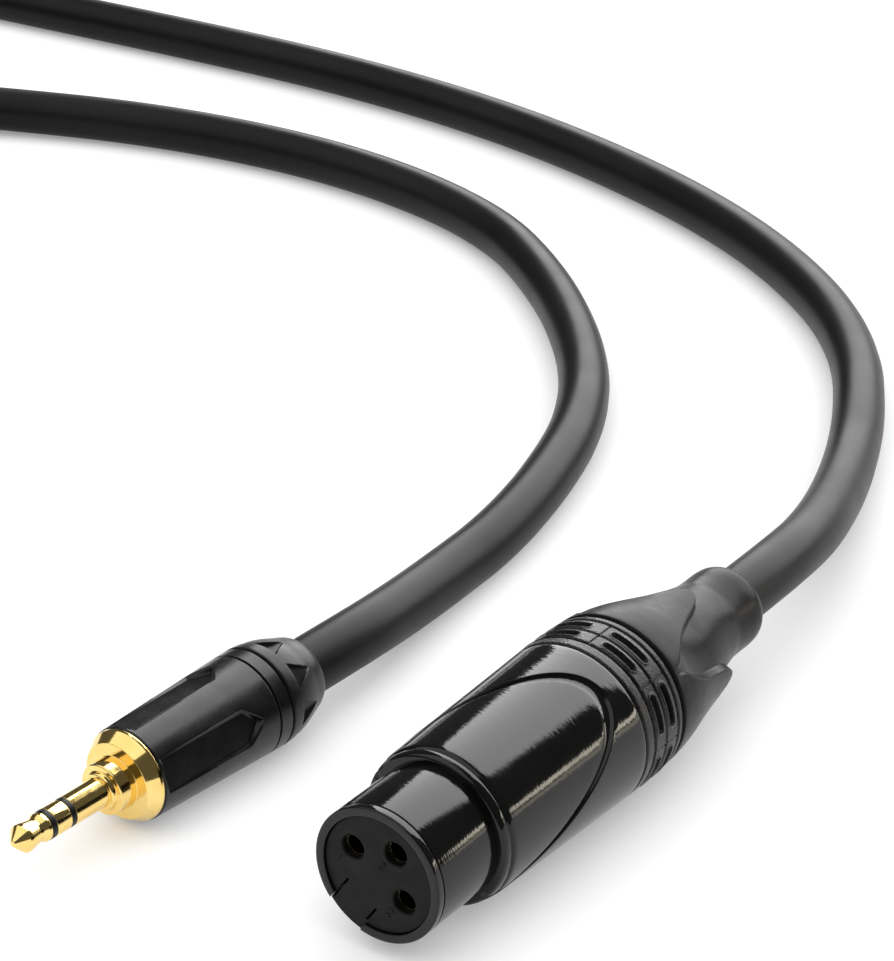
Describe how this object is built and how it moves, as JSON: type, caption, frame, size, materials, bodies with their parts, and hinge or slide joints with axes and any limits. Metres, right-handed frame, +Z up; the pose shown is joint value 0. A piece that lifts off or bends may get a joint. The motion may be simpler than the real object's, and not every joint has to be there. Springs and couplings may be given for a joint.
{
  "type": "xlr cable coil",
  "caption": "Audio lead: keyed socket connector with locking latch and bend relief, black cable with its spare length in a tied coil, and a small gold jack plug.",
  "frame": {"origin": "on the surface that the part lies on, under the middle of the socket connector", "axes": "+Y along the socket connector from its face to its cable end, +Z up, +X to the right seen from its face; the plug lies at -X and the cable leaves towards +Y and -X"},
  "size_m": [0.3382, 0.2232, 0.0203],
  "materials": {
    "socket_shell": "gloss black lacquer on die-cast zinc",
    "contact_carrier": "moulded satin black",
    "gold_contact": "gold plated, turned",
    "spring_steel": "bright rolled strip",
    "latch_metal": "gloss black lacquer",
    "clamp_plastic": "moulded",
    "collar_plastic": "fine moulded texture",
    "boot_rubber": "matte dark grey",
    "cable_jacket": "satin black jacket",
    "core_red": "plain insulation",
    "core_white": "plain insulation",
    "copper": "bare twisted copper",
    "gold_plate": "polished gold plate",
    "insulator": "turned black plastic",
    "liner_plastic": "thin natural tube",
    "plug_shell": "satin black",
    "plug_cap": "satin black",
    "tie_fabric": "woven hook-and-loop strip"
  },
  "bodies": {
    "root": {"xlr_housing": "socket_shell", "xlr_insert": "contact_carrier", "xlr_contact_1": "gold_contact", "xlr_contact_2": "gold_contact", "xlr_contact_3": "gold_contact", "xlr_ground_tab": "spring_steel", "xlr_latch_pin": "spring_steel", "xlr_latch_spring": "spring_steel", "xlr_cable_tail": "cable_jacket", "xlr_wire_hot": "core_red", "xlr_wire_cold": "core_white", "xlr_shield_braid": "copper", "trs_tip": "gold_plate", "trs_tip_insulator": "insulator", "trs_ring": "gold_plate", "trs_ring_insulator": "insulator", "trs_body": "gold_plate", "trs_ground_clamp": "gold_plate", "trs_rear_washer": "insulator", "trs_ring_lug": "gold_plate", "trs_tip_lug": "gold_plate", "trs_cable_tail": "cable_jacket", "trs_wire_tip": "core_red", "trs_wire_ring": "core_white", "trs_shield": "copper", "cable_run_xlr": "cable_jacket", "cable_run_plug": "cable_jacket", "cable_coil": "cable_jacket", "coil_tie": "tie_fabric"},
    "latch": {"xlr_latch": "latch_metal"},
    "clamp": {"xlr_chuck": "clamp_plastic"},
    "boot": {"xlr_boot_collar": "collar_plastic", "xlr_boot_sleeve": "boot_rubber"},
    "plug_liner": {"trs_liner": "liner_plastic"},
    "plug_shell": {"trs_shell": "plug_shell", "trs_cap": "plug_cap"}
  },
  "joints": [
    {"name": "latch_lever", "type": "hinge", "parent": "root", "child": "latch", "pos_m": [-0.00302, -0.0113, 0.00565], "axis": [-0.829, 0, 0.5592], "range_deg": [0, 6], "stiffness_Nm_per_rad": 0.2, "springref_deg": -5.73, "deforming": ["xlr_latch_spring"]},
    {"name": "boot_travel", "type": "slide", "parent": "root", "child": "clamp", "axis": [0, 1, 0], "range_m": [0, 0.005]},
    {"name": "boot_screw", "type": "hinge", "parent": "clamp", "child": "boot", "pos_m": [0, 0.009, 0.01013], "axis": [0, 1, 0], "range_deg": [0, 1440]},
    {"name": "shell_travel", "type": "slide", "parent": "root", "child": "plug_liner", "axis": [0.0591, 0.9983, 0], "range_m": [0, 0.0045]},
    {"name": "shell_screw", "type": "hinge", "parent": "plug_liner", "child": "plug_shell", "pos_m": [-0.03759, -0.02366, 0.0064], "axis": [0.0591, 0.9983, 0], "range_deg": [0, 2160]}
  ],
  "couplings": [
    {"joint": "boot_screw", "follows": "boot_travel", "rad_per_m": 5026.5},
    {"joint": "shell_screw", "follows": "shell_travel", "rad_per_m": 8377.6}
  ]
}
